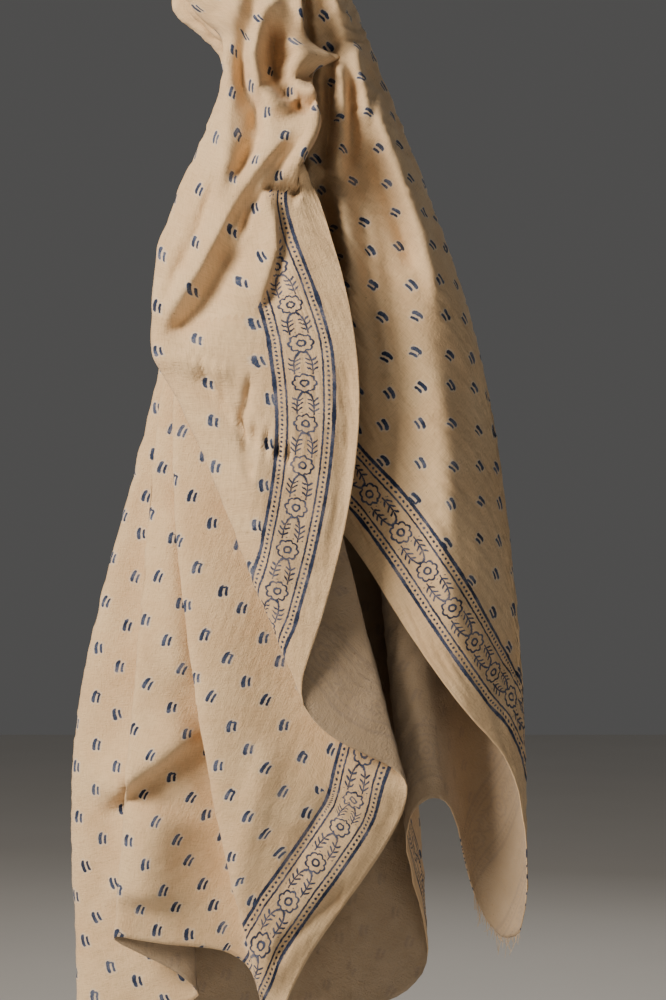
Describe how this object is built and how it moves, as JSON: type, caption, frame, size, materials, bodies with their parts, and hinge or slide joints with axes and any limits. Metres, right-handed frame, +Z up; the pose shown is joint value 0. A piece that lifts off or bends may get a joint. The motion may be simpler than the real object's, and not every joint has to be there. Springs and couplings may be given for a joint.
{
  "type": "hung block-printed cotton cloth",
  "caption": "Length of cream cotton block-printed in indigo, gathered at one selvedge and hung in a cascade of soft folds with a floral border.",
  "frame": {"origin": "the point that the gathered cloth hangs from, at the top of its bunch", "axes": "+Z up; the front, with the open cascade of the selvedge, faces -Y"},
  "size_m": [0.3799, 0.1629, 0.8949],
  "materials": {
    "printed_cotton": "matte unbleached hand-woven cotton with indigo block print"
  },
  "bodies": {
    "root": {"printed_cloth": "printed_cotton"}
  },
  "joints": []
}
